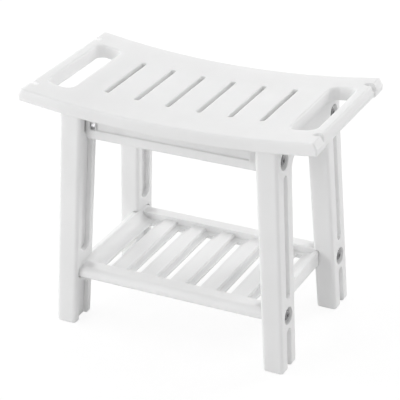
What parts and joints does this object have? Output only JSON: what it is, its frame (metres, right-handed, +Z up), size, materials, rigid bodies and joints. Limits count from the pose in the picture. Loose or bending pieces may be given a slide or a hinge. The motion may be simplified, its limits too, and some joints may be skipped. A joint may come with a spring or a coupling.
{
  "type": "shower bench",
  "caption": "White moulded shower bench with a curved slotted seat, hand holes at both ends, leaning legs in arched end frames and a slotted storage shelf.",
  "frame": {"origin": "on the floor, midway along and across the bench", "axes": "+X along the seat towards its right end, +Y towards the rear, +Z up"},
  "size_m": [0.5216, 0.285, 0.4196],
  "materials": {
    "seat_plastic": "satin",
    "shelf_plastic": "satin",
    "apron_plastic": "satin",
    "frame_plastic": "satin",
    "fastener_steel": "satin"
  },
  "bodies": {
    "root": {"bolt_lower_front_left": "fastener_steel", "bolt_lower_front_right": "fastener_steel", "bolt_lower_rear_left": "fastener_steel", "bolt_lower_rear_right": "fastener_steel", "bolt_upper_front_left": "fastener_steel", "bolt_upper_front_right": "fastener_steel", "bolt_upper_rear_left": "fastener_steel", "bolt_upper_rear_right": "fastener_steel", "front_apron": "apron_plastic", "left_end_frame": "frame_plastic", "nut_lower_front_left": "fastener_steel", "nut_lower_front_right": "fastener_steel", "nut_lower_rear_left": "fastener_steel", "nut_lower_rear_right": "fastener_steel", "nut_upper_front_left": "fastener_steel", "nut_upper_front_right": "fastener_steel", "nut_upper_rear_left": "fastener_steel", "nut_upper_rear_right": "fastener_steel", "rear_apron": "apron_plastic", "right_end_frame": "frame_plastic", "seat_panel": "seat_plastic", "seat_screw_front_left": "fastener_steel", "seat_screw_front_right": "fastener_steel", "seat_screw_rear_left": "fastener_steel", "seat_screw_rear_right": "fastener_steel", "shelf": "shelf_plastic", "washer_lower_front_left": "fastener_steel", "washer_lower_front_right": "fastener_steel", "washer_lower_rear_left": "fastener_steel", "washer_lower_rear_right": "fastener_steel", "washer_upper_front_left": "fastener_steel", "washer_upper_front_right": "fastener_steel", "washer_upper_rear_left": "fastener_steel", "washer_upper_rear_right": "fastener_steel"}
  },
  "joints": []
}
